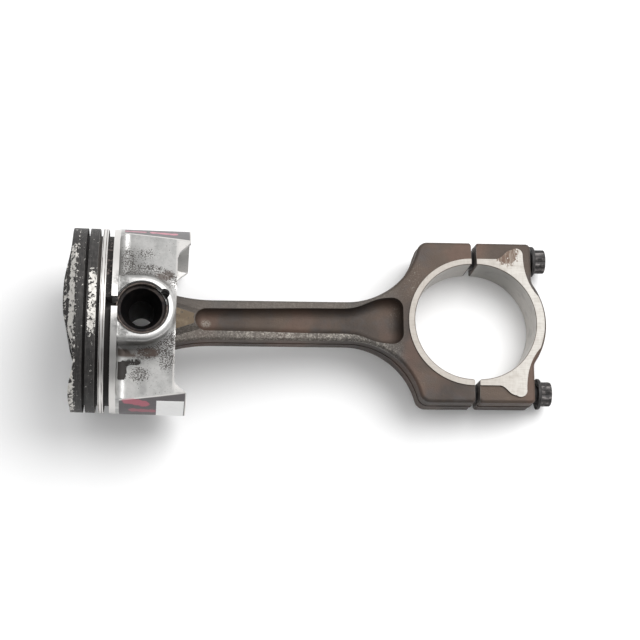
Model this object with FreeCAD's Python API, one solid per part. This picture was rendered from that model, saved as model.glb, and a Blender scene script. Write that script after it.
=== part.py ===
import FreeCAD, Part
import math
import os
from FreeCAD import Vector

# A connecting rod lying on its side, with its cap, bolts, bush, floating pin and piston.
# Origin: centre of the big-end bore, at half its width. +Z runs along the big-end bore and the
# pin, +X runs from the piston to the cap, and Y is across the rod. All in millimetres.

# Rod
centre_distance = 151.3
bore_radius = 26.8
bore_half_width = 11.0
bore_chamfer = 0.5
ring_radius = 29.7
forged_half_height = 10.4
shank_half_height = 8.0
shank_half_width = 9.25
shoulder_half_width = 37.6
shoulder_corner = 5.0
flare_start_x = -57.0
flare_radius = 33.0
rise_start_x = -64.0
rise_end_x = -34.0
joint_corner = 0.7
flash_proud = 0.3
flash_half_height = 1.1
forging_round = 1.6
eye_radius = 15.5
eye_half_width = 10.4
neck_radius = 70.0
tongue_tip_x = -127.7
tongue_tip_half = 2.2
tongue_root_half = 10.0
tongue_foot_reach = 6.0
tongue_foot_spread = 3.5
web_half_height = 2.5
pocket_half_width = 5.9
pocket_end_half = 5.2
pocket_round_x = -122.0
pocket_flare_x = -60.0
pocket_mouth_x = -32.2
pocket_mouth_half = 10.8
pocket_corner = 5.0
pocket_foot_round = 4.4

# Joint between rod and cap, and the bolts across it
joint_gap = 2.4
cap_back_radius = 32.0
cap_lug_x = 25.6
cap_lug_corner = 2.2
cap_root_round = 5.0
cap_forging_inset = 0.3
cap_pad_inset = 1.1
cap_pad_rise_x = 8.5
cap_ear_x = 18.6
cap_ear_y = 31.9
cap_ear_radius = 3.0
cap_ear_fall_y = 19.5
cap_pad_back_deg = 23.0
relief_length = 2.4
relief_depth = 0.5
bolt_y = 31.6
bolt_radius = 4.0
bolt_length = 46.0
tapped_hole_radius = 4.08
tapped_hole_depth = 21.0
cap_hole_radius = 4.3
bolt_seat_radius = 7.6
bolt_backed_off = {"cap_bolt_upper": 1.6, "cap_bolt_lower": 2.3}
flange_radius = 7.1
flange_thickness = 1.5
head_point_radius = 5.7
head_height = 5.0
head_dish_radius = 3.0
head_dish_depth = 1.0
bolt_tip_chamfer = 0.7
small_chamfer = 0.5

# Pin, bush and circlips
pin_radius = 11.15
pin_half_length = 26.9
pin_hole_radius = 5.75
pin_mouth_radius = 9.3
pin_mouth_depth = 9.5
running_clearance = 0.03
bush_outer_radius = 12.9
wire_radius = 0.8
clip_centre_z = 28.1
clip_opening_deg = 50.0
clip_notch_deg = 33.4
clip_notch_radius = 2.2
clip_groove_depth = 0.82
clip_groove_half_width = 0.9
clip_notch_offset = 0.7
clip_notch_depth = 5.0
bore_mouth_inner = 0.3
bore_mouth_outer = 1.1

# Piston, measured from the pin axis with the crown towards -X
piston_turn_deg = -1.2
piston_radius = 41.8
skirt_radius = 41.95
rim_x = -28.3
roof_line = [
    (-29.4, -44.0), (-30.5, -33.0), (-29.2, -28.0), (-28.9, -21.0), (-31.0, -14.0), (-33.6, -6.0),
    (-34.2, 3.0), (-33.9, 11.0), (-32.8, 18.0), (-31.7, 26.0), (-31.5, 34.0), (-30.8, 44.0),
]
crown_edge_slope = 0.85
crown_edge_widening = 1.12
valve_pockets = [(19.0, -31.4, 6.0, 14.5), (-21.0, -28.7, -3.0, 12.5)]
valve_pocket_z = 17.0
grooves = [(-25.1, -23.8), (-19.6, -18.1), (-15.7, -13.1)]
groove_floor_radius = 38.5
belt_end_x = -10.4
crown_inside_x = -22.5
skirt_end_x = 21.0
wall_end_x = 15.3
wall_end_upper_y = 26.0
wall_end_lower_y = -31.5
skirt_inner_radius = 38.6
belt_inner_radius = 34.0
wall_half = 20.9
wall_lean_x = 0.2
wall_lean_y = 0.09
wall_thickness = 3.6
boss_radius = 15.2
boss_face_z = 30.0
boss_inner_z = 11.4
cast_corner_round = 4.0
boss_rim_round = 2.6
pylon_half_width = 11.0
pylon_outer_z = 18.0
belt_backing = 3.0
wall_end_round = 4.0
rim_chamfer = 0.6
drain_slot_width = 4.5
drain_slot_y = -0.35
drain_slot_floor_z = 28.5
drain_slot_overrun = 1.5
label_thickness = 0.12
label_start_x = 7.9
label_end_x = 20.1
label_low_z = -6.0
label_high_z = 15.6

pin_axis_x = -centre_distance
whole = 400.0


def slab(low, high):
    """A box between two corners."""
    size = Vector(*high) - Vector(*low)
    return Part.makeBox(size.x, size.y, size.z, Vector(*low))


def upright(radius, low, high, x=0.0, y=0.0):
    """A cylinder along Z."""
    return Part.makeCylinder(radius, high - low, Vector(x, y, low), Vector(0, 0, 1))


def lengthwise(radius, low, high, y=0.0):
    """A cylinder along X, on the pin axis's height."""
    return Part.makeCylinder(radius, high - low, Vector(low, y, 0), Vector(1, 0, 0))


def cone(radius_low, radius_high, low, high):
    """A cone along Z."""
    return Part.makeCone(radius_low, radius_high, high - low, Vector(0, 0, low), Vector(0, 0, 1))


def plate(edges, half_height):
    """A flat outline in XY, extruded equally to both sides of Z = 0."""
    face = Part.Face(Part.Wire(Part.__sortEdges__([edge.toShape() for edge in edges])))
    face.translate(Vector(0, 0, -half_height))
    return face.extrude(Vector(0, 0, 2 * half_height))


def line(start, end):
    return Part.LineSegment(Vector(*start, 0), Vector(*end, 0))


def arc(centre, radius, start_deg, end_deg):
    """An arc in XY from one direction to another, given as angles about its centre."""

    def at(angle):
        turn = math.radians(angle)
        return Vector(centre[0] + radius * math.cos(turn), centre[1] + radius * math.sin(turn), 0)

    return Part.Arc(at(start_deg), at((start_deg + end_deg) / 2), at(end_deg))


def ends(curve):
    """The first and last point of a curve, as XY pairs."""
    first = curve.StartPoint
    last = curve.EndPoint
    return (first.x, first.y), (last.x, last.y)


def both_sides(shape):
    """The shape and its mirror image across Z = 0, as one."""
    return shape.fuse(shape.mirror(Vector(), Vector(0, 0, 1)))


def direction_deg(start, end):
    return math.degrees(math.atan2(end[1] - start[1], end[0] - start[0]))


def mirrored(edges):
    """The outline's other half, across the rod's centre line."""
    copies = []
    for edge in edges:
        copy = edge.copy()
        copy.mirror(Vector(), Vector(1, 0, 0))
        copies.append(copy)
    return copies


def rod_outline():
    """Half the rod's outline: joint face, shoulder, flare, shank, neck and eye, each tangent to the next."""
    flare_centre = (flare_start_x, shank_half_width + flare_radius)
    corner_y = shoulder_half_width - shoulder_corner
    reach = flare_radius + shoulder_corner
    corner_x = flare_start_x + math.sqrt(reach**2 - (flare_centre[1] - corner_y) ** 2)
    corner_centre = (corner_x, corner_y)
    meet_deg = direction_deg(flare_centre, corner_centre)
    flare = arc(flare_centre, flare_radius, -90, meet_deg)
    corner = arc(corner_centre, shoulder_corner, meet_deg + 180, 90)

    neck_reach = (eye_radius + neck_radius) ** 2 - (shank_half_width + neck_radius) ** 2
    neck_centre = (pin_axis_x + math.sqrt(neck_reach), shank_half_width + neck_radius)
    eye_centre = (pin_axis_x, 0.0)
    eye_deg = direction_deg(eye_centre, neck_centre)
    neck = arc(neck_centre, neck_radius, eye_deg + 180, 270)
    eye = arc(eye_centre, eye_radius, eye_deg, 180)

    joint_bevel = line((0, shoulder_half_width - joint_corner), (-joint_corner, shoulder_half_width))
    shoulder = line(ends(corner)[1], (-joint_corner, shoulder_half_width))
    shank = line((neck_centre[0], shank_half_width), (flare_start_x, shank_half_width))
    joint_face = line((0, 0), (0, shoulder_half_width - joint_corner))
    return [joint_face, joint_bevel, shoulder, corner, flare, shank, neck, eye]


def side_envelope():
    """The forging seen from the side: a thinner shank that rises smoothly to the big end."""
    middle = (rise_start_x + rise_end_x) / 2
    rise = Part.BezierCurve()
    rise.setPoles(
        [
            Vector(rise_start_x, 0, shank_half_height),
            Vector(middle, 0, shank_half_height),
            Vector(middle, 0, forged_half_height),
            Vector(rise_end_x, 0, forged_half_height),
        ]
    )
    far_x = pin_axis_x - eye_radius - 1
    near_x = 1.0
    corners = [
        Vector(rise_end_x, 0, forged_half_height),
        Vector(near_x, 0, forged_half_height),
        Vector(near_x, 0, 0),
        Vector(far_x, 0, 0),
        Vector(far_x, 0, shank_half_height),
        Vector(rise_start_x, 0, shank_half_height),
    ]
    edges = [rise.toShape(), *Part.makePolygon(corners).Edges]
    face = Part.Face(Part.Wire(Part.__sortEdges__(edges)))
    face.translate(Vector(0, -whole / 2, 0))
    return both_sides(face.extrude(Vector(0, whole, 0))).removeSplitter()


def easing(start, end):
    """An S-shaped curve that leaves one point and reaches the next along X."""
    middle = (start[0] + end[0]) / 2
    curve = Part.BezierCurve()
    curve.setPoles(
        [Vector(*start, 0), Vector(middle, start[1], 0), Vector(middle, end[1], 0), Vector(*end, 0)]
    )
    return curve


def pocket():
    """The trough between the shank's two flanges: round at the small end, flared at the big end."""
    round_end = arc((pocket_round_x, 0), pocket_end_half, 90, 270)
    corner_x = pocket_mouth_x - pocket_corner
    corner_y = pocket_mouth_half - pocket_corner
    corner = arc((corner_x, corner_y), pocket_corner, 0, 90)
    side = easing((pocket_round_x, pocket_end_half), (pocket_flare_x, pocket_half_width))
    flare = easing((pocket_flare_x, pocket_half_width), (corner_x, pocket_mouth_half))
    half = [side, flare, corner]
    mouth = line((pocket_mouth_x, -corner_y), (pocket_mouth_x, corner_y))
    cutter = plate([round_end, mouth, *half, *mirrored(half)], forged_half_height)
    cutter.translate(Vector(0, 0, web_half_height + forged_half_height))
    foot = [edge for edge in cutter.Edges if edge.BoundBox.ZMax < web_half_height + 0.01]
    return both_sides(cutter.makeFillet(pocket_foot_round, foot))


def tongue():
    """The crest that runs from the machined eye face down to the shank, narrower towards its tip."""

    def level(z, reach, spread):
        tip_x = tongue_tip_x + reach
        tip_half = tongue_tip_half + spread
        root_half = tongue_root_half + spread
        corners = [(pin_axis_x, -root_half), (tip_x, -tip_half), (tip_x, tip_half), (pin_axis_x, root_half)]
        points = [Vector(x, y, z) for x, y in corners]
        return Part.makePolygon([*points, points[0]])

    crest = level(eye_half_width, 0, 0)
    foot = level(shank_half_height - forging_round, tongue_foot_reach, tongue_foot_spread)
    return both_sides(Part.makeLoft([foot, crest], True, True))


def bolt_hole(radius, low, high):
    """A pair of holes along X, one on each side of the bore."""
    return lengthwise(radius, low, high, bolt_y).fuse(lengthwise(radius, low, high, -bolt_y))


def joint_relief(direction):
    """Two shallow wedges that ease the bore's edges at the joint face."""
    tip_x = direction * relief_length
    wedges = []
    for side in (1, -1):
        inner = side * (bore_radius - 1.0)
        outer = side * (bore_radius + relief_depth)
        points = [Vector(0, inner, -whole), Vector(0, outer, -whole), Vector(tip_x, inner, -whole)]
        face = Part.Face(Part.makePolygon([*points, points[0]]))
        wedges.append(face.extrude(Vector(0, 0, 2 * whole)))
    return wedges[0].fuse(wedges[1])


def bore_cutter():
    """The big-end bore with a small chamfer at each face."""
    reach = bore_half_width + 1
    mouth = cone(bore_radius, bore_radius + 1 + bore_chamfer, bore_half_width - bore_chamfer, reach)
    return upright(bore_radius, -reach, reach).fuse(both_sides(mouth))


def rounded(shape):
    """Rounds a forging's top and bottom outline, but not the long straight edges that lie across it."""
    edges = []
    for edge in shape.Edges:
        box = edge.BoundBox
        on_face = box.ZMin * box.ZMax > 0 and abs(box.ZMin) > shank_half_height - 0.01
        long_across = box.XLength < 0.01 and box.YLength > shank_half_width
        if on_face and not long_across:
            edges.append(edge)
    return shape.makeFillet(forging_round, edges)


def flash_line(edges, low_x, high_x):
    """The thin ridge where the forging dies met, left proud after its flash was trimmed off."""
    wire = Part.Wire(Part.__sortEdges__([edge.toShape() for edge in edges]))
    face = Part.Face(wire.makeOffset2D(flash_proud))
    face.translate(Vector(0, 0, -flash_half_height))
    ridge = face.extrude(Vector(0, 0, 2 * flash_half_height))
    return ridge.common(slab((low_x, -whole, -whole), (high_x, whole, whole)))


def rod_body():
    half = rod_outline()
    blank = plate([*half, *mirrored(half)], forged_half_height).common(side_envelope()).removeSplitter()
    forging = rounded(blank)
    eye = upright(eye_radius, -eye_half_width, eye_half_width, pin_axis_x)
    ring = upright(ring_radius, -bore_half_width, bore_half_width)
    ring = ring.common(slab((-whole, -whole, -whole), (0, whole, whole)))
    flash = flash_line([*half, *mirrored(half)], -whole, 0)
    body = forging.fuse([flash, eye, tongue(), ring])
    body = body.cut(pocket())
    body = body.cut(bore_cutter())
    body = body.cut(joint_relief(-1))
    body = body.cut(bolt_hole(tapped_hole_radius, -tapped_hole_depth, 1))
    return body.cut(upright(bush_outer_radius, -whole, whole, pin_axis_x))


def cap_outline():
    """Half the cap's outline: joint face, shoulder, lug face and the arc round the back of the bore."""
    joint_face = line((0, 0), (0, shoulder_half_width - joint_corner))
    joint_bevel = line((0, shoulder_half_width - joint_corner), (joint_corner, shoulder_half_width))
    lug_centre = (cap_lug_x - cap_lug_corner, shoulder_half_width - cap_lug_corner)
    shoulder = line((joint_corner, shoulder_half_width), (lug_centre[0], shoulder_half_width))
    lug_round = arc(lug_centre, cap_lug_corner, 90, 0)
    root_x = cap_lug_x + cap_root_round
    root_y = math.sqrt((cap_back_radius + cap_root_round) ** 2 - root_x**2)
    root_deg = direction_deg((0, 0), (root_x, root_y))
    lug_face = line((cap_lug_x, lug_centre[1]), (cap_lug_x, root_y))
    root = arc((root_x, root_y), cap_root_round, 180, root_deg + 180)
    back = arc((0, 0), cap_back_radius, root_deg, 0)
    return [joint_face, joint_bevel, shoulder, lug_round, lug_face, root, back]


def cap_pad():
    """The raised, machined side face of the cap: a ring with an ear over each bolt."""
    ear = arc((cap_ear_x, cap_ear_y), cap_ear_radius, 130, 5)
    ear_top, ear_foot = ends(ear)
    rise_middle_x = (cap_pad_rise_x + ear_top[0]) / 2
    rise = Part.BezierCurve()
    rise.setPoles(
        [
            Vector(cap_pad_rise_x, ring_radius, 0),
            Vector(rise_middle_x, ring_radius, 0),
            Vector(rise_middle_x, ear_top[1] - 0.4, 0),
            Vector(*ear_top, 0),
        ]
    )
    ring = line((0, ring_radius), (cap_pad_rise_x, ring_radius))
    back = arc((0, 0), cap_back_radius - cap_pad_inset, cap_pad_back_deg, 0)
    back_top = ends(back)[0]
    fall = Part.BezierCurve()
    fall.setPoles([Vector(*ear_foot, 0), Vector(ear_foot[0], cap_ear_fall_y, 0), Vector(*back_top, 0)])
    half = [line((0, 0), (0, ring_radius)), ring, rise, ear, fall, back]
    return plate([*half, *mirrored(half)], bore_half_width)


def bearing_cap():
    half = cap_outline()
    blank = plate([*half, *mirrored(half)], forged_half_height - cap_forging_inset)
    forging = rounded(blank)
    flash = flash_line([*half, *mirrored(half)], 0, whole)
    cap = forging.fuse([flash, cap_pad()])
    cap = cap.cut(bore_cutter())
    cap = cap.cut(joint_relief(1))
    cap = cap.cut(bolt_hole(cap_hole_radius, -1, cap_lug_x + 1))
    cap = cap.cut(bolt_hole(bolt_seat_radius, cap_lug_x, cap_lug_x + 1))
    cap.translate(Vector(joint_gap, 0, 0))
    return cap


def twelve_point_head(foot_x):
    """Two hexagons turned half a flat from each other, chamfered at the top and dished in the middle."""
    hexagons = []
    for turn in (0, 30):
        points = []
        for corner in range(7):
            angle = math.radians(60 * corner + turn)
            across = head_point_radius * math.cos(angle)
            up = head_point_radius * math.sin(angle)
            points.append(Vector(foot_x, across, up))
        hexagons.append(Part.Face(Part.makePolygon(points)).extrude(Vector(head_height, 0, 0)))
    head = hexagons[0].fuse(hexagons[1]).removeSplitter()
    top_x = foot_x + head_height
    top_radius = head_point_radius - small_chamfer
    taper = Part.makeCone(
        top_radius + head_height, top_radius, head_height, Vector(foot_x, 0, 0), Vector(1, 0, 0)
    )
    dish = lengthwise(head_dish_radius, top_x - head_dish_depth, top_x + 1)
    return head.common(taper).cut(dish)


def cap_bolt(name, y):
    """A twelve-point flanged bolt, screwed into the rod through the cap and backed off a little."""
    seat_x = joint_gap + cap_lug_x + bolt_backed_off[name]
    head_x = seat_x + flange_thickness
    tip_x = seat_x - bolt_length
    flange = lengthwise(flange_radius, seat_x, head_x)
    top_edges = [edge for edge in flange.Edges if edge.BoundBox.XMin > head_x - 0.1]
    flange = flange.makeChamfer(small_chamfer, top_edges)
    shank = lengthwise(bolt_radius, tip_x, head_x)
    tip_edges = [edge for edge in shank.Edges if edge.BoundBox.XMax < tip_x + 0.1]
    shank = shank.makeChamfer(bolt_tip_chamfer, tip_edges)
    bolt = flange.fuse([twelve_point_head(head_x), shank]).removeSplitter()
    bolt.translate(Vector(0, y, 0))
    return bolt


def small_end_bush():
    outer = upright(bush_outer_radius, -eye_half_width, eye_half_width)
    bush = outer.cut(upright(pin_radius + running_clearance, -whole, whole))
    bush.translate(Vector(pin_axis_x, 0, 0))
    return bush


def piston_pin():
    """A hollow pin, narrow in the middle and tapered out to a thin lip at both ends."""
    body = upright(pin_radius, -pin_half_length, pin_half_length)
    body = body.makeChamfer(small_chamfer, [edge for edge in body.Edges if edge.BoundBox.ZLength < 0.01])
    mouth = cone(pin_hole_radius, pin_mouth_radius, pin_half_length - pin_mouth_depth, pin_half_length)
    pin = body.cut(upright(pin_hole_radius, -whole, whole)).cut(both_sides(mouth))
    return at_pin_axis(pin)


def circlip(side):
    """A round-wire ring with an opening at the removal notch."""
    ring_centre = pin_radius + running_clearance + clip_groove_depth - wire_radius
    wire = Part.makeTorus(
        ring_centre, wire_radius, Vector(), Vector(0, 0, 1), -180, 180, 360 - clip_opening_deg
    )
    wire.rotate(Vector(), Vector(0, 0, 1), clip_notch_deg + clip_opening_deg / 2)
    wire.translate(Vector(0, 0, side * clip_centre_z))
    return at_pin_axis(wire)


def at_pin_axis(shape):
    """Moves a shape built about the pin axis into place, with the piston's turn on the pin."""
    shape.rotate(Vector(), Vector(0, 0, 1), piston_turn_deg)
    shape.translate(Vector(pin_axis_x, 0, 0))
    return shape


def between_walls(inset, low_x, high_x):
    """The space between the piston's two leaning side walls, inset from their outer faces."""

    def section(x):
        corners = []
        for y, sign in ((-50, -1), (50, -1), (50, 1), (-50, 1)):
            half = wall_half - inset + wall_lean_x * x + wall_lean_y * y
            corners.append(Vector(x, y, sign * half))
        return Part.makePolygon([*corners, corners[0]])

    return Part.makeLoft([section(low_x), section(high_x)], True, True)


def roof():
    """The head's raised top: one profile across the piston, falling away in a slope round its edge."""
    base_x = rim_x + 1.0
    points = [Vector(x, y, -whole / 2) for x, y in roof_line]
    curve = Part.BSplineCurve()
    curve.interpolate(points)
    corners = [
        points[-1],
        Vector(base_x, points[-1].y, -whole / 2),
        Vector(base_x, points[0].y, -whole / 2),
        points[0],
    ]
    outline = Part.Wire([curve.toShape(), *Part.makePolygon(corners).Edges])
    ridge = Part.Face(outline).extrude(Vector(0, 0, whole))
    slope_height = 13.0
    foot_radius = piston_radius + (base_x - rim_x) / crown_edge_slope
    top_radius = foot_radius - slope_height / crown_edge_slope
    slope = Part.makeCone(foot_radius, top_radius, slope_height, Vector(base_x, 0, 0), Vector(-1, 0, 0))
    widen = FreeCAD.Matrix()
    widen.scale(Vector(1, crown_edge_widening, 1))
    sloped = ridge.common(slope.transformGeometry(widen))
    return sloped.common(lengthwise(piston_radius, base_x - slope_height, base_x))


def crown():
    """The roof with a sunk valve pocket in each quarter."""
    head = roof()
    for y, floor_x, tilt, radius in valve_pockets:
        for z in (-valve_pocket_z, valve_pocket_z):
            relief = lengthwise(radius, floor_x - 12, floor_x)
            relief.rotate(Vector(floor_x, 0, 0), Vector(0, 0, 1), tilt)
            relief.translate(Vector(0, y, z))
            head = head.cut(relief)
    return head


def ring_belt():
    """The solid head of the piston, with its three ring grooves."""
    belt = lengthwise(piston_radius, rim_x, belt_end_x)
    rim_edges = [edge for edge in belt.Edges if edge.BoundBox.XMax < rim_x + 0.01]
    belt = belt.makeChamfer(rim_chamfer, rim_edges)
    for low_x, high_x in grooves:
        groove = lengthwise(piston_radius + 1, low_x, high_x)
        belt = belt.cut(groove.cut(lengthwise(groove_floor_radius, low_x, high_x)))
    return belt


def open_end_cutter():
    """Takes the side walls back from the open end, so that the two skirts stand proud of them."""
    out_x = skirt_end_x + 1
    flare = skirt_end_x - wall_end_x
    corners = [
        (wall_end_x, wall_end_lower_y),
        (wall_end_x, wall_end_upper_y),
        (out_x, wall_end_upper_y + flare),
        (out_x, wall_end_lower_y - flare),
    ]
    points = [Vector(x, y, -whole / 2) for x, y in corners]
    cutter = Part.Face(Part.makePolygon([*points, points[0]])).extrude(Vector(0, 0, whole))
    uprights = [edge for edge in cutter.Edges if edge.BoundBox.ZLength > 1]
    roots = [edge for edge in uprights if edge.BoundBox.XMax < wall_end_x + 0.1]
    return cutter.makeFillet(wall_end_round, roots)


def pin_bore():
    """The bore through both bosses, a circlip groove near each face, and a removal notch."""
    radius = pin_radius + running_clearance
    groove_low = clip_centre_z - clip_groove_half_width
    groove_high = clip_centre_z + clip_groove_half_width
    groove = upright(radius + clip_groove_depth, groove_low, groove_high)
    mouth = cone(radius + bore_mouth_inner, radius + bore_mouth_outer, groove_high - 0.1, boss_face_z + 0.2)
    turn = math.radians(clip_notch_deg)
    notch_reach = radius + clip_notch_offset
    notch_x = notch_reach * math.cos(turn)
    notch_y = notch_reach * math.sin(turn)
    notch = upright(clip_notch_radius, groove_low - clip_notch_depth, boss_face_z + 1, notch_x, notch_y)
    ends_of_bore = both_sides(groove.fuse([mouth, notch]))
    return upright(radius, -boss_face_z - 1, boss_face_z + 1).fuse(ends_of_bore)


def drain_slot():
    """The oil drain cut through the third land, over each boss."""
    low_y = drain_slot_y - drain_slot_width / 2
    high_y = drain_slot_y + drain_slot_width / 2
    high_x = belt_end_x + drain_slot_overrun
    return both_sides(slab((grooves[2][0], low_y, drain_slot_floor_z), (high_x, high_y, skirt_radius + 1)))


def hollow():
    """The inside of the piston: narrow behind the ring belt, wider between the skirts."""
    upper = lengthwise(belt_inner_radius, crown_inside_x, belt_end_x + belt_backing)
    lower = lengthwise(skirt_inner_radius, belt_end_x + belt_backing - 1, skirt_end_x + 1)
    return between_walls(wall_thickness, crown_inside_x, skirt_end_x + 2).common(upper.fuse(lower))


def on_boss(point):
    return abs(math.hypot(max(point.x, 0.0), point.y) - boss_radius) < 0.02


def on_boss_face(point):
    return abs(abs(point.z) - boss_face_z) < 0.02


def on_wall(point):
    wall_z = wall_half + wall_lean_x * point.x + wall_lean_y * point.y
    return abs(abs(point.z) - wall_z) < 0.03


def on_belt_back(point):
    return abs(point.x - belt_end_x) < 0.02


def edges_between(body, first_surface, second_surface):
    """The edges whose every part lies on both surfaces."""
    found = []
    for edge in body.Edges:
        span = edge.LastParameter - edge.FirstParameter
        points = [edge.valueAt(edge.FirstParameter + share * span) for share in (0.1, 0.3, 0.5, 0.7, 0.9)]
        if all(first_surface(point) and second_surface(point) for point in points):
            found.append(edge)
    return found


def cast_rounds(body):
    """Blends the casting where the walls meet the bosses and the ring belt, and rounds each boss's rim."""
    corners = edges_between(body, on_wall, on_boss)
    corners += edges_between(body, on_wall, on_belt_back)
    blended = body.makeFillet(cast_corner_round, corners)
    return blended.makeFillet(boss_rim_round, edges_between(blended, on_boss, on_boss_face))


def piston():
    skirt = lengthwise(skirt_radius, belt_end_x - 0.5, skirt_end_x)
    skirt = skirt.common(between_walls(0.0, belt_end_x - 1, skirt_end_x + 1))
    body = ring_belt().fuse([crown(), skirt]).cut(hollow())
    boss = upright(boss_radius, boss_inner_z, boss_face_z)
    root = slab((belt_end_x - 1, -boss_radius, boss_inner_z), (0, boss_radius, boss_face_z))
    pylon = slab(
        (crown_inside_x - 1, -pylon_half_width, boss_inner_z), (0, pylon_half_width, pylon_outer_z)
    )
    body = body.fuse(both_sides(boss.fuse([root, pylon]).removeSplitter()))
    body = cast_rounds(body.cut(open_end_cutter()))
    return at_pin_axis(body.cut(pin_bore()).cut(drain_slot()))


def paper_label():
    """A blank sticker wrapped round the lower skirt, near its open end."""
    outer = lengthwise(skirt_radius + label_thickness, label_start_x, label_end_x)
    label = outer.cut(lengthwise(skirt_radius, label_start_x - 1, label_end_x + 1))
    low = (label_start_x - 1, -skirt_radius - 1, label_low_z)
    high = (label_end_x + 1, 0.0, label_high_z)
    return at_pin_axis(label.common(slab(low, high)))


def main():
    os.makedirs("parts", exist_ok=True)
    nodes = {
        "rod_body": rod_body(),
        "bearing_cap": bearing_cap(),
        "cap_bolt_upper": cap_bolt("cap_bolt_upper", bolt_y),
        "cap_bolt_lower": cap_bolt("cap_bolt_lower", -bolt_y),
        "small_end_bush": small_end_bush(),
        "piston": piston(),
        "piston_pin": piston_pin(),
        "circlip_front": circlip(1),
        "circlip_back": circlip(-1),
        "paper_label": paper_label(),
    }
    for name, shape in nodes.items():
        solids = shape.Solids
        print(name, "solids", len(solids), "valid", shape.isValid(), "volume", round(shape.Volume))
        shape.exportStep(os.path.join("parts", name + ".step"))


main()
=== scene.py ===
import math

import bpy
from mathutils import Matrix, Vector

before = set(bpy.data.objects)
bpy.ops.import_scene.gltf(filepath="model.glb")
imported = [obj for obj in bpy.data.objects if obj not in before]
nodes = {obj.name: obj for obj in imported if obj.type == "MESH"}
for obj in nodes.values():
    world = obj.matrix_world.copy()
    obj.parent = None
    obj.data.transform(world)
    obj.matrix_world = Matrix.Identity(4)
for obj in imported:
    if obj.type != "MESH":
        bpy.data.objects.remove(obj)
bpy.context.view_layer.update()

# The rod body is a hot-forged steel I-beam. It was shot-blasted, so its skin is a dull brown-grey
# with a fine grain, and then its big end, eye faces and bores were machined bright.

rod_length = 151.3
big_end_face_z = 11.0
eye_face_z = 10.4
bore_radius = 26.8
forged_brown = (0.082, 0.059, 0.045)
forged_dark = (0.042, 0.033, 0.028)
forged_red = (0.100, 0.060, 0.045)
forged_blue = (0.056, 0.053, 0.054)
flange_grey = (0.092, 0.086, 0.079)
grain_light_and_glint = (0.26, 0.24, 0.21)
machined_pale = (0.40, 0.37, 0.335)
machined_lit_side = (0.52, 0.50, 0.465)
machined_shadow = (0.25, 0.215, 0.18)
eye_tan = (0.105, 0.074, 0.043)
eye_pale = (0.15, 0.112, 0.070)
bore_dull = (0.36, 0.34, 0.32)
bore_turned_and_lit = (0.60, 0.575, 0.54)
bore_shade = (0.17, 0.165, 0.15)
joint_grey = (0.13, 0.115, 0.105)
chip_brown = (0.115, 0.074, 0.054)


class Wire:
    """A number or colour flowing through a material, so that its arithmetic adds the nodes."""

    def __init__(self, tree, socket=None):
        self.tree = tree
        self.socket = socket

    def node(self, kind, settings=None, sockets=None, output=0):
        made = self.tree.nodes.new(kind)
        for name, value in (settings or {}).items():
            setattr(made, name, value)
        for name, value in (sockets or {}).items():
            if isinstance(value, Wire):
                self.tree.links.new(value.socket, made.inputs[name])
            else:
                made.inputs[name].default_value = value
        return Wire(self.tree, made.outputs[output] if made.outputs else None)

    def maths(self, operation, *values):
        return self.node("ShaderNodeMath", {"operation": operation}, dict(enumerate(values)))

    def __add__(self, other):
        return self.maths("ADD", self, other)

    def __radd__(self, other):
        return self.maths("ADD", other, self)

    def __sub__(self, other):
        return self.maths("SUBTRACT", self, other)

    def __rsub__(self, other):
        return self.maths("SUBTRACT", other, self)

    def __mul__(self, other):
        return self.maths("MULTIPLY", self, other)

    def __rmul__(self, other):
        return self.maths("MULTIPLY", other, self)

    def __truediv__(self, other):
        return self.maths("DIVIDE", self, other)

    def __neg__(self):
        return self.maths("MULTIPLY", self, -1.0)

    def __abs__(self):
        return self.maths("ABSOLUTE", self)

    def __pow__(self, other):
        return self.maths("POWER", self, other)

    def rise(self, low, high):
        """0 below low, 1 above high, and smooth between."""
        settings = {"interpolation_type": "SMOOTHSTEP"}
        return self.node("ShaderNodeMapRange", settings, {"Value": self, "From Min": low, "From Max": high})

    def fall(self, low, high):
        """1 below low, 0 above high, and smooth between."""
        return 1 - self.rise(low, high)

    def band(self, low, high, edge):
        """1 between low and high, 0 outside, with soft edges."""
        return self.rise(low - edge, low) * self.fall(high, high + edge)

    def over(self, other):
        return self.maths("MAXIMUM", self, other)


def mixed(share, under, over):
    """One colour laid over another by a share."""
    settings = {"data_type": "RGBA", "blend_type": "MIX"}
    sockets = {0: share, 6: paint(under), 7: paint(over)}
    return share.node("ShaderNodeMix", settings, sockets, output=2)


def paint(colour):
    return (*colour, 1) if isinstance(colour, tuple) else colour


def new_material(name):
    """An empty material, with the place on the piece in millimetres and its three parts."""
    material = bpy.data.materials.new(name)
    material.use_nodes = True
    material.node_tree.nodes.clear()
    start = Wire(material.node_tree)
    local = start.node("ShaderNodeTexCoord", output=3)
    place = start.node("ShaderNodeVectorMath", {"operation": "SCALE"}, {0: local, "Scale": 1000.0})
    parts = [start.node("ShaderNodeSeparateXYZ", None, {0: place}, output=i) for i in range(3)]
    return material, place, parts


def noise(place, size, detail=3.0, roughness=0.55, distortion=0.0, stretch=(1, 1, 1), shift=0.0):
    """A cloudy value from 0 to 1, with features of about that size in millimetres."""
    moved = (shift, shift * 2, 0)
    scaled = place.node("ShaderNodeMapping", None, {0: place, "Location": moved, "Scale": stretch})
    sockets = {
        "Vector": scaled,
        "Scale": 1.0 / size,
        "Detail": detail,
        "Roughness": roughness,
        "Distortion": distortion,
    }
    return place.node("ShaderNodeTexNoise", None, sockets)


def patch(across, along, centre, reach):
    """1 at the middle of an oval patch, 0 outside it."""
    u = (across - centre[0]) / reach[0]
    v = (along - centre[1]) / reach[1]
    return ((u * u + v * v) ** 0.5).fall(0.35, 1.0)


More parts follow.
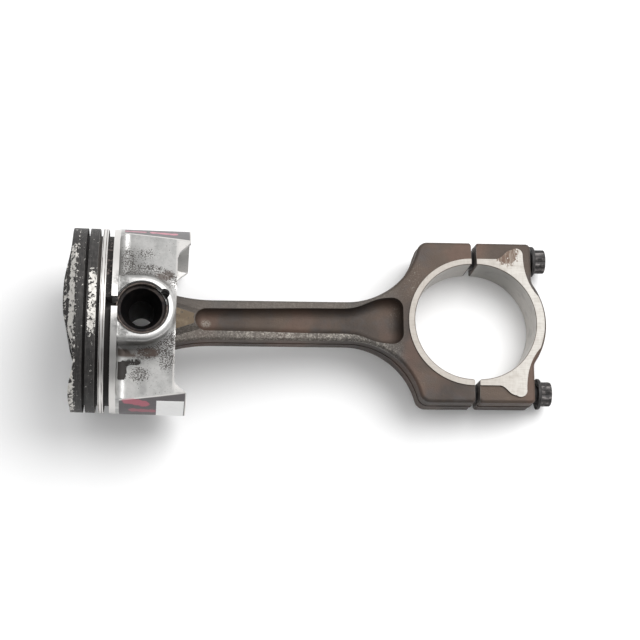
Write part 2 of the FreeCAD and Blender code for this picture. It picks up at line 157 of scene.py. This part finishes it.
def surface(place, colour, roughness, metallic, height, depth):
    """The closing nodes of a material: its shader, and a relief whose depth is in millimetres."""
    bump = place.node("ShaderNodeBump", None, {"Height": height, "Strength": 1.0, "Distance": depth / 1000})
    sockets = {
        "Base Color": paint(colour),
        "Roughness": roughness,
        "Metallic": metallic,
        "Normal": bump,
    }
    shader = place.node("ShaderNodeBsdfPrincipled", None, sockets)
    place.node("ShaderNodeOutputMaterial", None, {"Surface": shader})


def wear(node_or_piece, material):
    """Gives a piece one material over its whole mesh."""
    mesh = node_or_piece.data
    mesh.materials.clear()
    mesh.materials.append(material)
    mesh.polygons.foreach_set("material_index", [0] * len(mesh.polygons))


def forged_steel(name, joint_x, joint_side):
    """Blasted forging with bright machined faces: one material for the rod and one for its cap."""
    material, place, (x, y, z) = new_material(name)
    from_bore = ((x - joint_x) * (x - joint_x) + y * y) ** 0.5
    from_pin = ((x + rod_length) * (x + rod_length) + y * y) ** 0.5

    drift = noise(place, 34, 2.0, 0.5)
    tint = noise(place, 13, 3.0, 0.6, shift=40)
    warm = noise(place, 22, 2.0, 0.5, shift=90)
    mottle = noise(place, 2.6, 4.0, 0.65)
    grain = noise(place, 0.55, 2.0, 0.7)
    speck = noise(place, 0.85, 1.0, 0.5, shift=15)

    base = mixed(drift.rise(0.38, 0.62), forged_dark, forged_brown)
    base = mixed(tint.rise(0.50, 0.70) * 0.45, base, forged_blue)
    base = mixed(warm.rise(0.50, 0.64) * 0.60, base, forged_red)
    base = mixed(mottle.rise(0.42, 0.75) * 0.40, base, forged_brown)
    flange = abs(z).rise(6.4, 7.6) * x.fall(-44, -30)
    base = mixed(flange * 0.55, base, flange_grey)
    low_side = y.fall(-4, 4)
    glitter = (speck * 0.35 + grain * 0.65).rise(0.45, 0.60) * mottle.rise(0.30, 0.56)
    glitter = glitter * flange * (0.25 + 0.75 * low_side) * (0.45 + 0.55 * x.rise(-125, -90))
    base = mixed(glitter * 0.90, base, grain_light_and_glint)
    big_end = x.band(-46, -27, 6) * from_bore.band(30.5, 36, 4)
    scuffs = (grain * 0.5 + speck * 0.5).rise(0.54, 0.68) * drift.rise(0.44, 0.58)
    base = mixed(big_end * scuffs * 0.35, base, grain_light_and_glint)
    base = mixed(x.rise(4, 10) * y.rise(22, 30) * 0.45, base, forged_dark)
    # Painted highlight: a speckled glint in the rounded foot of the pocket by the small end.
    pocket_foot_glint = patch(x, y, (-122.0, -0.9), (2.9, 2.5)) * abs(z).fall(6.0, 7.0)
    base = mixed(pocket_foot_glint * grain.rise(0.35, 0.60) * 0.7, base, grain_light_and_glint)

    ring = abs(z).rise(big_end_face_z - 0.16, big_end_face_z - 0.08)
    eye = abs(z).rise(eye_face_z - 0.10, eye_face_z - 0.04) * from_pin.fall(24, 24.4)
    scratch_long = noise(place, 1.1, 3.0, 0.7, 0.4, stretch=(0.16, 1.9, 1.0), shift=7)
    scratch_wide = noise(place, 1.3, 3.0, 0.7, 0.4, stretch=(1.6, 0.22, 1.0), shift=21)
    scratches = scratch_long * 0.6 + scratch_wide * 0.4
    stain = noise(place, 6, 4.0, 0.6, shift=60)
    # Painted light: the machined faces are painted brighter towards +X, where the lamp's reflection falls.
    bright = mixed(x.rise(-8, 30) * 0.8, machined_pale, machined_lit_side)
    marks = scratches.rise(0.44, 0.62) * 0.28 + stain.rise(0.48, 0.72) * 0.30
    bright = mixed(marks, bright, machined_shadow)
    tan = mixed(noise(place, 3.0, 3.0, 0.6, shift=33).rise(0.45, 0.65), eye_tan, eye_pale)
    tan = mixed(noise(place, 1.8, 2.0, 0.6, shift=70).rise(0.57, 0.66) * 0.7, tan, forged_dark)
    bright = mixed(eye, bright, tan)

    wall = from_bore.fall(bore_radius + 0.12, bore_radius + 0.22)
    joint = ((x - joint_x) * joint_side).rise(-0.12, -0.06)
    turned = noise(place, 1.0, 2.0, 0.6, stretch=(0.15, 0.15, 3.0))
    # Painted light and shade: the bore wall is painted brighter towards +X, where it faces the light, with
    # turning marks mixed in, and darker on the cap's upper wall, where shade falls.
    bore_grey = mixed(x.rise(-4, 18) * 0.7 + turned.rise(0.35, 0.65) * 0.3, bore_dull, bore_turned_and_lit)
    bore_grey = mixed(y.rise(11, 25) * x.rise(-1, 6) * 0.75, bore_grey, bore_shade)
    bore_grey = mixed(stain.rise(0.50, 0.72) * 0.25, bore_grey, forged_blue)
    metal = mixed(wall, bright, bore_grey)
    metal = mixed(joint, metal, joint_grey)

    edge_wear = noise(place, 1.5, 3.0, 0.65, shift=11)
    ear = patch(x, y, (16.5, 31.8), (7.5, 6.5))
    wear_height = edge_wear * 0.6 + scratch_wide * 0.4 + ear * 0.24
    chipped = ring * wear_height.rise(0.59, 0.64) * ear.rise(0.0, 0.1)
    machined = (ring * (1 - chipped)).over(eye).over(wall).over(joint)
    chip = mixed(scratch_wide.rise(0.44, 0.60) * 0.7, chip_brown, machined_shadow)
    colour = mixed(machined, mixed(ring, base, chip), metal)
    rough_skin = 0.50 + 0.18 * mottle - 0.12 * glitter
    rough_metal = 0.52 + 0.20 * scratches
    roughness = rough_skin * (1 - machined) + (rough_metal - 0.18 * wall) * machined
    metallic = 0.50 - 0.30 * machined
    skin = grain * 0.55 + mottle * 0.45 + speck * flange * 0.5
    relief = skin * (1 - machined) + (scratches * 0.10 + turned * wall * 0.06 + 0.45) * machined
    surface(place, colour, roughness, metallic, relief, 0.28)
    return material


rod = nodes["rod_body"]
wear(rod, forged_steel("forged_rod", 0.0, 1))

# The bearing cap starts as part of the rod's forging and is parted from it. Its side faces stand
# proud as a bright ring with an ear over each bolt. It is backed off, so the joint stands open.

cap_gap = 2.4
cap = nodes["bearing_cap"]
wear(cap, forged_steel("forged_cap", cap_gap, -1))

# The two cap bolts are twelve-point flanged bolts in phosphated high-tensile steel, with bare
# metal showing on the points where a socket has rubbed.

bolt_offset = 31.6
bolt_black = (0.024, 0.022, 0.022)
bolt_grey = (0.046, 0.042, 0.042)
bolt_rubbed = (0.14, 0.128, 0.124)


def phosphated_steel():
    material, place, (x, y, z) = new_material("phosphated_bolt")
    cloud = noise(place, 2.2, 4.0, 0.6)
    fine = noise(place, 0.4, 2.0, 0.6)
    head_y = abs(y) - bolt_offset
    from_axis = (head_y * head_y + z * z) ** 0.5
    points = from_axis.rise(5.1, 5.6) * from_axis.fall(5.8, 6.0)
    rubbed = points * cloud.rise(0.42, 0.60) + fine.rise(0.62, 0.72) * 0.25
    colour = mixed(rubbed, mixed(cloud.rise(0.35, 0.7), bolt_black, bolt_grey), bolt_rubbed)
    roughness = 0.50 + 0.2 * cloud - 0.12 * rubbed
    surface(place, colour, roughness, 0.45, fine * 0.6 + cloud * 0.4, 0.10)
    return material


bolt_finish = phosphated_steel()
for name in ("cap_bolt_upper", "cap_bolt_lower"):
    wear(nodes[name], bolt_finish)

# The small-end bush is a thin sleeve of leaded bronze, pressed into the rod's eye and bored
# to size, with oil-stained end faces.

bronze = (0.62, 0.40, 0.18)
bronze_stain = (0.24, 0.14, 0.07)


def bush_bronze():
    material, place, (x, y, z) = new_material("bush_bronze")
    cloud = noise(place, 3.0, 4.0, 0.6)
    turned = noise(place, 1.0, 2.0, 0.6, stretch=(0.2, 0.2, 4.0))
    colour = mixed(cloud.rise(0.4, 0.7), bronze, bronze_stain)
    surface(place, colour, 0.28 + 0.25 * cloud, 0.95, turned * 0.5 + cloud * 0.5, 0.05)
    return material


wear(nodes["small_end_bush"], bush_bronze())

# The piston is cast in aluminium alloy. Its lands and grooves are turned, its skirts carry a
# grey anti-friction coat with smears of red marking paint, and its head is black with carbon
# that has flaked off in patches. Oil has dried on its side walls as dark specks.

piston_turn = math.radians(-1.2)
alloy = (0.50, 0.495, 0.485)
alloy_dull_and_shade = (0.27, 0.27, 0.265)
alloy_shadow = (0.15, 0.15, 0.145)
turned_alloy_and_highlight = (0.66, 0.645, 0.625)
bare_crown = (0.62, 0.60, 0.565)
bare_dull = (0.34, 0.32, 0.295)
carbon = (0.014, 0.013, 0.012)
carbon_grey = (0.034, 0.031, 0.030)
carbon_streak = (0.105, 0.097, 0.090)
oil_dark = (0.030, 0.023, 0.019)
oil_and_shade_brown = (0.062, 0.043, 0.034)
cake_dark = (0.013, 0.010, 0.008)
skirt_coat = (0.122, 0.110, 0.114)
skirt_worn_and_lit = (0.16, 0.157, 0.16)
marking_red = (0.50, 0.14, 0.185)
marking_pale = (0.55, 0.24, 0.29)
thin_line_dark = (0.10, 0.08, 0.075)
groove_black = (0.016, 0.013, 0.012)
groove_rust = (0.15, 0.12, 0.11)
groove_dust = (0.16, 0.14, 0.125)
recess_black = (0.020, 0.017, 0.015)


def stroke(across, along, start, end, width):
    """1 along a brush stroke from one place to another, 0 outside its width."""
    step = (end[0] - start[0], end[1] - start[1])
    length = step[0] ** 2 + step[1] ** 2
    u = across - start[0]
    v = along - start[1]
    share = ((u * step[0] + v * step[1]) / length).rise(-0.001, 1.001)
    off_u = u - share * step[0]
    off_v = v - share * step[1]
    return ((off_u * off_u + off_v * off_v) ** 0.5).fall(width * 0.7, width)


def cast_alloy():
    material, place, (x, y, z) = new_material("piston_alloy")
    shifted = x + rod_length
    px = shifted * math.cos(piston_turn) + y * math.sin(piston_turn)
    py = y * math.cos(piston_turn) - shifted * math.sin(piston_turn)
    from_axis = (py * py + z * z) ** 0.5
    from_pin = (px * px + py * py) ** 0.5
    front = z.rise(-0.5, 0.5)
    side_y = py * (front * 2 - 1)

    cloud = noise(place, 9, 3.0, 0.55)
    fine = noise(place, 0.5, 2.0, 0.6)
    mid = noise(place, 2.0, 4.0, 0.65, shift=12)
    ragged = noise(place, 1.7, 5.0, 0.72, distortion=0.3, shift=31)
    broad = noise(place, 6.0, 2.0, 0.5, shift=52)
    metal = mixed(cloud.rise(0.42, 0.64) * 0.55 + mid.rise(0.45, 0.7) * 0.2, alloy, alloy_dull_and_shade)
    # Painted shade: darker patches on the side walls stand in for the darker reflections that the slightly
    # curved cast walls catch.
    painted_wall_shade = patch(px, side_y, (-6, 22), (9, 12)).over(patch(px, side_y, (0, -19), (15, 8)) * 0.8)
    metal = mixed(painted_wall_shade * 0.50, metal, alloy_shadow)
    # Painted light: the end facets inside the skirts are painted paler, standing in for the light they
    # catch.
    inner_end = px.rise(15, 16) * abs(py).rise(26, 28) * from_axis.fall(41.6, 41.8)
    metal = mixed(inner_end * 0.5, metal, turned_alloy_and_highlight)
    lands = from_axis.rise(41.2, 41.5) * px.fall(-10.3, -10.2)
    metal = mixed(lands, metal, turned_alloy_and_highlight)
    # Painted reflection: the turned lands are darker across the lower side, where they reflect something
    # dark.
    metal = mixed(lands * side_y.band(-22, -10, 5) * 0.6, metal, alloy_dull_and_shade)
    wall_z = px * 0.2 + side_y * 0.09 + 20.9
    # Painted highlight: a bright line along the wall's end stands in for the glint of a rounded edge.
    wall_end_highlight = px.rise(14.3, 14.8) * abs(py).fall(33, 36) * (abs(z) - wall_z).rise(-1.4, -1.0)
    metal = mixed(wall_end_highlight * 0.7, metal, turned_alloy_and_highlight)
    # Painted shade and dirt at the boss roots: mottled darkening that stands in for the shading of the
    # rounded root where the boss meets the belt, with dirty spots.
    root = patch(px, side_y, (-8.6, 9.5), (5.5, 6.5)).over(patch(px, side_y, (-8.6, -10.0), (5.5, 6.0)))
    metal = mixed(root * mid.rise(0.30, 0.60) * abs(z).rise(24, 25) * 0.8, metal, alloy_shadow)

    # Oil dried on the side walls: fine specks round the bosses, and a black cake in one corner.
    wall = px.rise(-9.9, -9.6) * from_axis.fall(41.2, 41.5)
    speck = noise(place, 0.52, 3.0, 0.65, shift=5)
    halo = from_pin.band(17.2, 20.5, 2.5)
    oily = patch(px, side_y, (-7, 23), (6, 9)) * 0.16
    oily = oily.over(patch(px, side_y, (1, 26), (7, 3.5)) * 0.13)
    oily = oily.over(halo * side_y.rise(6, 12) * 0.15)
    oily = oily.over(halo * side_y.fall(-12, -6) * px.rise(-6, 2) * 0.19)
    oily = oily.over(patch(px, side_y, (12, -21), (6, 8)) * 0.17)
    oily = oily.over(patch(px, side_y, (0, -28), (7, 5)) * 0.17)
    spots = (speck + oily).rise(0.645, 0.685) * wall
    metal = mixed(spots * 0.9, metal, oil_dark)
    brown = patch(px, side_y, (10, 16), (7, 3.6)).over(patch(px, side_y, (4, -18), (9, 2.6)))
    smudge = (broad * 0.4 + ragged * 0.6 + brown * 0.20).rise(0.60, 0.70) * brown.rise(0.05, 0.3) * wall
    metal = mixed(smudge * 0.8, metal, oil_and_shade_brown)
    # Painted shade and dried oil: a dark band under the boss, partly the shade that falls beneath it and
    # partly oil.
    under_boss = px.band(-10.4, 6, 3) * side_y.band(-19.5, -17.2, 1.2)
    metal = mixed(under_boss * (0.45 + 0.55 * broad.rise(0.38, 0.55)) * wall * 0.85, metal, oil_and_shade_brown)
    corner = px.band(-10.6, -7.6, 3.4) * side_y.band(-28.5, -24.5, 3.6)
    trail = patch(px, side_y, (-3, -22.5), (8, 2.4))
    cake = (ragged * 0.75 + corner * 0.50 + trail * 0.30).rise(0.60, 0.66) * wall
    metal = mixed(cake, metal, cake_dark)

    # Carbon on the head and the two upper lands, flaked away to bare metal in patches.
    head = px.fall(-28.3, -28.1)
    near = z.rise(-8, 16)
    flank = px.band(-31.0, -29.3, 1.0) * side_y.band(-16, 24, 6) * near
    low_flank = side_y.fall(-26, -18) * px.fall(-28.9, -28.5)
    blotch = broad.rise(0.52, 0.64) * head * 0.10
    worn = (flank * 0.19).over(low_flank * 0.16).over(px.fall(-32.8, -32.2) * near * 0.10) + blotch
    worn = worn.over(px.band(-22.6, -19.9, 1.2) * side_y.band(-11, 10, 7) * near * 0.20)
    worn = worn.over(px.band(-28.5, -28.2, 0.3) * 0.10)
    flakes = (ragged + worn - 0.05).rise(0.59, 0.61)
    streaks = noise(place, 1.0, 3.0, 0.6, stretch=(2.5, 0.12, 0.12), shift=17)
    soot = mixed(mid.rise(0.40, 0.66), carbon, carbon_grey)
    soot = mixed(streaks.rise(0.52, 0.72) * 0.45 * (1 - head), soot, carbon_streak)
    upper_lands = px.fall(-19.7, -19.5)
    sooted = upper_lands * (1 - flakes)
    bare = mixed(mid.rise(0.50, 0.72) * 0.8, bare_crown, bare_dull)
    metal = mixed(upper_lands, metal, bare)
    metal = mixed(sooted, metal, soot)
    # Two thin darker lines round the third land.
    thin_lines = px.band(-17.9, -17.6, 0.12).over(px.band(-16.5, -16.3, 0.12))
    metal = mixed(thin_lines * streaks.rise(0.35, 0.55) * lands, metal, thin_line_dark)
    groove = from_axis.fall(41.2, 41.4) * px.band(-25.2, -12.9, 0.1)
    rusty = noise(place, 1.4, 3.0, 0.6, shift=44).rise(0.56, 0.64)
    rusty = rusty * px.rise(-16, -15.8) * side_y.rise(-6, 4)
    groove_dirt = mixed(rusty, groove_black, groove_rust)
    dusty = px.band(-19.7, -18.0, 0.1) * side_y.rise(0, 12) * 0.6
    groove_dirt = mixed(dusty, groove_dirt, groove_dust)
    metal = mixed(groove, metal, groove_dirt)

    # The skirts' grey coat with its paint marks, and the bare edge round it.
    skirt = from_axis.rise(41.80, 41.88) * px.rise(-8.8, -8.5)
    # The bright edge is bare metal, and also a painted highlight standing in for the glint of a rounded
    # corner.
    edge = (abs(z) - wall_z).rise(-0.9, -0.4).over(px.rise(20.3, 20.7))
    rubbed = noise(place, 3.0, 2.0, 0.5, stretch=(0.2, 1, 1), shift=9).rise(0.4, 0.7)
    # The coat is paler where rubbed, and painted lighter towards the upper skirt, on the side the light
    # comes from.
    coat = mixed(fine.rise(0.35, 0.7) * 0.3 + rubbed * 0.4 + py.rise(20, 30) * 0.5, skirt_coat, skirt_worn_and_lit)
    rough_edge = (mid - 0.5) * 2.4
    low_z = z + rough_edge
    low_x = px + rough_edge
    lower_marks = stroke(low_x, low_z, (-5.0, 15.2), (2.5, 12.8), 2.9)
    lower_marks = lower_marks.over(stroke(low_x, low_z, (-2.5, 5.6), (6.0, 4.6), 2.4) * 0.7)
    upper_marks = stroke(low_x, low_z, (-8, 18.5), (0, 19.5), 1.5) * 0.7
    upper_marks = upper_marks.over(stroke(low_x, low_z, (4, 19.8), (14, 21.5), 1.6))
    marked = (lower_marks * py.fall(-30, -28)).over(upper_marks * py.rise(28, 30)) * skirt
    metal = mixed(skirt, metal, coat)
    metal = mixed(marked * 0.85, metal, mixed(py.rise(-10, 10), marking_red, marking_pale))
    metal = mixed(skirt * edge * (1 - marked * 0.5), metal, turned_alloy_and_highlight)
    coated = skirt * (1 - edge)

    # The drain slot and the removal notches are painted near-black inside.
    slot = abs(py + 0.35).fall(2.15, 2.3) * px.band(-15.9, -8.6, 0.1) * from_axis.fall(41.3, 41.5)
    notch = patch(px, py, (9.92, 6.54), (3.6, 3.6)).rise(0.55, 0.9)
    notch = notch * from_pin.rise(11.9, 12.3) * abs(z).fall(29.3, 29.8)
    blackened = slot.over(notch) * abs(z).rise(21, 22)
    metal = mixed(blackened, metal, recess_black)

    dull = (sooted.over(groove)).over(coated).over(spots * 0.8).over(cake).over(blackened).over(smudge * 0.7)
    dull = dull.over(flakes * upper_lands * 0.55).over(inner_end * 0.6)
    corner_round = px.band(-10.6, -6.4, 0.8) * abs(py).fall(26, 31) * wall
    clean = 0.28 + 0.16 * cloud + 0.1 * mid + 0.22 * corner_round
    roughness = clean * (1 - dull) + (0.58 + 0.18 * mid) * dull
    metallic = 0.95 - 0.85 * dull
    turned = noise(place, 1.0, 2.0, 0.5, stretch=(5.0, 0.1, 0.1), shift=2)
    relief = 0.5 + fine * 0.16 + mid * 0.14 + turned * lands * 0.15
    relief = relief + sooted * ragged * 0.5 - flakes * upper_lands * 0.12 + spots * 0.10 + cake * 0.5
    surface(place, metal, roughness, metallic, relief, 0.22)
    return material


piston = nodes["piston"]
wear(piston, cast_alloy())

# The piston pin is a hollow tube of case-hardened steel, ground and coated black. It floats in
# the bush and in both bosses.

pin_black = (0.012, 0.011, 0.012)
pin_edge = (0.030, 0.025, 0.023)
pin_lip = (0.050, 0.040, 0.035)


def coated_pin():
    material, place, (x, y, z) = new_material("coated_pin")
    cloud = noise(place, 3.5, 4.0, 0.6)
    fine = noise(place, 0.5, 2.0, 0.6)
    from_pin = ((x + rod_length) * (x + rod_length) + y * y) ** 0.5
    lip = abs(z).rise(26.0, 26.8)
    colour = mixed(cloud.rise(0.4, 0.7) * 0.6, pin_black, pin_edge)
    colour = mixed(lip * cloud.rise(0.35, 0.6) * 0.6, colour, pin_lip)
    outer = from_pin.rise(11.0, 11.1)
    surface(place, colour, 0.46 + 0.2 * cloud - 0.2 * outer, 0.85, fine * 0.5 + cloud * 0.5, 0.05)
    return material


wear(nodes["piston_pin"], coated_pin())

# A circlip of round spring wire snaps into a groove near each face of the bosses and keeps the
# pin in. Each one's ends stop at the notch, where a pick can reach behind the wire.

wire_grey = (0.085, 0.070, 0.062)
wire_dark = (0.030, 0.025, 0.023)


def spring_wire():
    material, place, (x, y, z) = new_material("spring_wire")
    cloud = noise(place, 1.6, 4.0, 0.65)
    drawn = noise(place, 0.4, 2.0, 0.6)
    colour = mixed(cloud.rise(0.42, 0.68), wire_grey, wire_dark)
    surface(place, colour, 0.26 + 0.3 * cloud, 0.95, drawn * 0.5 + cloud * 0.5, 0.04)
    return material


wire_finish = spring_wire()
for name in ("circlip_front", "circlip_back"):
    wear(nodes[name], wire_finish)

# The label is a blank paper sticker, glued round the lower skirt and a little grey from handling.

paper_white = (0.96, 0.96, 0.95)
paper_grey = (0.86, 0.855, 0.84)
paper_fibre = (0.68, 0.67, 0.64)


def label_paper():
    material, place, (x, y, z) = new_material("label_paper")
    fibre = noise(place, 0.5, 3.0, 0.7, stretch=(0.4, 1.0, 1.0))
    cloud = noise(place, 5.0, 3.0, 0.6)
    colour = mixed(cloud.rise(0.45, 0.75) * 0.5, paper_white, paper_grey)
    colour = mixed(fibre.rise(0.5, 0.8) * 0.2, colour, paper_fibre)
    surface(place, colour, 0.62 + 0.2 * fibre, 0.0, fibre, 0.03)
    return material


wear(nodes["paper_label"], label_paper())

# The object lies on a plain pale table. The big end is thinner than the piston, so the table
# slopes in the object's frame to touch both.

table_touch = Vector((-0.185, 0.0, -0.0422))
table_slope = math.atan(0.1455)
table_white = (0.90, 0.90, 0.90)
table_grey = (0.88, 0.88, 0.885)


def pale_floor():
    material, place, (x, y, z) = new_material("pale_table")
    cloud = noise(place, 60, 3.0, 0.5)
    fine = noise(place, 1.2, 2.0, 0.5)
    colour = mixed(cloud.rise(0.4, 0.7) * 0.3, table_white, table_grey)
    surface(place, colour, 0.6 + 0.1 * fine, 0.0, fine, 0.01)
    return material


floor_mesh = bpy.data.meshes.new("table_top")
floor_half = 3.0
signs = [(-1, -1), (1, -1), (1, 1), (-1, 1)]
corners = [(across * floor_half, along * floor_half, 0) for across, along in signs]
floor_mesh.from_pydata(corners, [], [(0, 1, 2, 3)])
floor = bpy.data.objects.new("table_top", floor_mesh)
bpy.context.scene.collection.objects.link(floor)
floor.matrix_world = Matrix.Translation(table_touch) @ Matrix.Rotation(-table_slope, 4, "Y")
wear(floor, pale_floor())

# Soft studio light: one broad lamp high on the far right, and a white room that is a little
# greyer towards its foot.


def soft_lamp(name, place, aim, width, power):
    data = bpy.data.lights.new(name, "AREA")
    data.shape = "DISK"
    data.size = width
    data.energy = power
    lamp = bpy.data.objects.new(name, data)
    bpy.context.scene.collection.objects.link(lamp)
    lamp.location = place
    lamp.rotation_euler = (Vector(aim) - Vector(place)).to_track_quat("-Z", "Y").to_euler()


soft_lamp("key_lamp", (0.40, 0.40, 1.20), (-0.06, 0.0, 0.0), 0.95, 15.0)

room_light_side = (0.22, 0.46, 0.86)
room_grey = (0.10, 0.102, 0.105)
room_white = (1.0, 1.0, 1.0)

world = bpy.data.worlds.new("white_room")
bpy.context.scene.world = world
world.use_nodes = True
world.node_tree.nodes.clear()
sky = Wire(world.node_tree)
direction = sky.node("ShaderNodeTexCoord", output=0)
sides = {0: direction, 1: room_light_side}
toward_lamp = sky.node("ShaderNodeVectorMath", {"operation": "DOT_PRODUCT"}, sides, output=1)
room_colour = mixed(toward_lamp.rise(-0.30, 0.85), room_grey, room_white)
room = sky.node("ShaderNodeBackground", None, {"Color": room_colour, "Strength": 1.05})
sky.node("ShaderNodeOutputWorld", None, {"Surface": room})
bpy.context.scene.view_settings.view_transform = "Standard"

# The camera looks down at the object from above its shank, a little towards -Y.

camera_data = bpy.data.cameras.new("camera")
camera_data.sensor_width = 36.0
camera_data.lens = 101.0
camera_data.clip_start = 0.01
camera = bpy.data.objects.new("camera", camera_data)
bpy.context.scene.collection.objects.link(camera)
right = Vector((0.9950508, -0.00906054, 0.09895359))
up = Vector((-0.01343712, 0.974418, 0.22434126))
turn = Matrix((right, up, right.cross(up))).transposed().to_4x4()
camera.matrix_world = Matrix.Translation((-0.1508946, -0.1834188, 0.80146)) @ turn
bpy.context.scene.camera = camera
